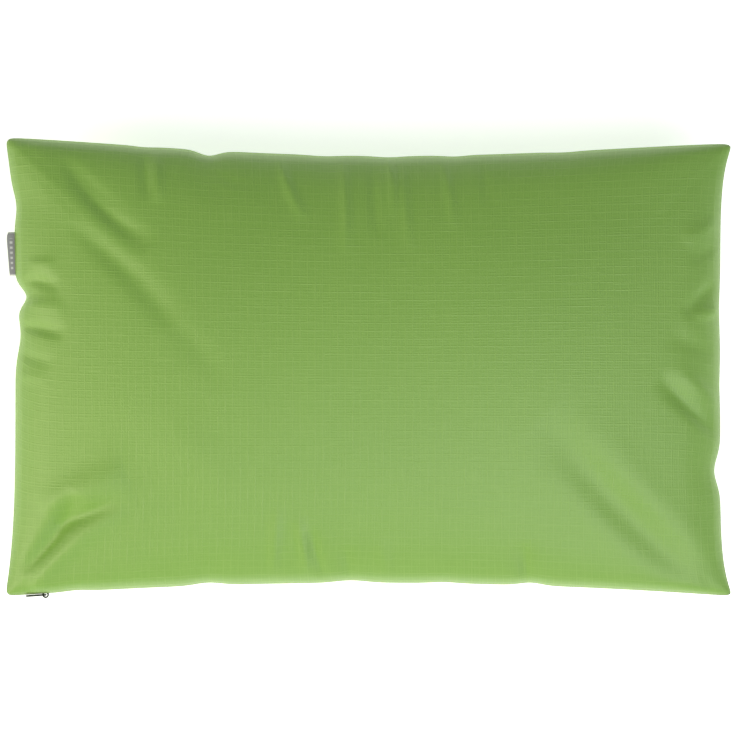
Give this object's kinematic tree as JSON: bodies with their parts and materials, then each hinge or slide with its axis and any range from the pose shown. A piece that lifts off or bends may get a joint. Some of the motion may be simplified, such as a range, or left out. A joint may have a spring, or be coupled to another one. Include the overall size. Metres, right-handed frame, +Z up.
{
  "type": "camp pillow",
  "caption": "Soft rectangular camp pillow: zipped ripstop cover with pointed corners and a folded side label, round a fibre-filled insert.",
  "frame": {"origin": "under the middle of the pillow, on the flat patch that it lies on", "axes": "+X along the pillow to its right end, +Y across it towards the sewn long side, +Z up through the front panel; the zip is along the long side at -Y and the side label is at -X"},
  "size_m": [0.486, 0.3072, 0.104],
  "materials": {
    "ripstop": "satin",
    "green_thread": "matte",
    "case_fabric": "matte",
    "fibre": "matte",
    "zip_tape": "matte",
    "zip_coil": "satin",
    "zip_metal": "satin",
    "label_weave": "matte",
    "care_satin": "satin"
  },
  "bodies": {
    "pillow": {"cover_front_panel": "ripstop", "cover_back_panel": "ripstop", "cover_seam_thread": "green_thread", "cover_overlock_edging": "green_thread", "insert_case_front": "case_fabric", "insert_case_back": "case_fabric", "insert_case_thread": "case_fabric", "fibre_fill": "fibre", "zip_tape_front": "zip_tape", "zip_tape_back": "zip_tape", "zip_coil_front": "zip_coil", "zip_coil_back": "zip_coil", "zip_stitching_front": "green_thread", "zip_stitching_back": "green_thread", "zip_end_stop_left": "zip_metal", "zip_end_stop_right": "zip_metal", "side_label": "label_weave", "care_label": "care_satin"},
    "slider": {"zip_slider": "zip_metal"},
    "pull": {"zip_pull_tab": "zip_metal"}
  },
  "joints": [
    {"name": "zip_slide", "type": "hinge", "parent": "pillow", "child": "slider", "pos_m": [0, -3.429, 0.05], "axis": [0, 0, -1], "range_deg": [0, 7.54]},
    {"name": "pull_swing", "type": "hinge", "parent": "slider", "child": "pull", "pos_m": [-0.21584, -0.15202, 0.05], "axis": [0, 0, 1], "range_deg": [0, 180]}
  ]
}
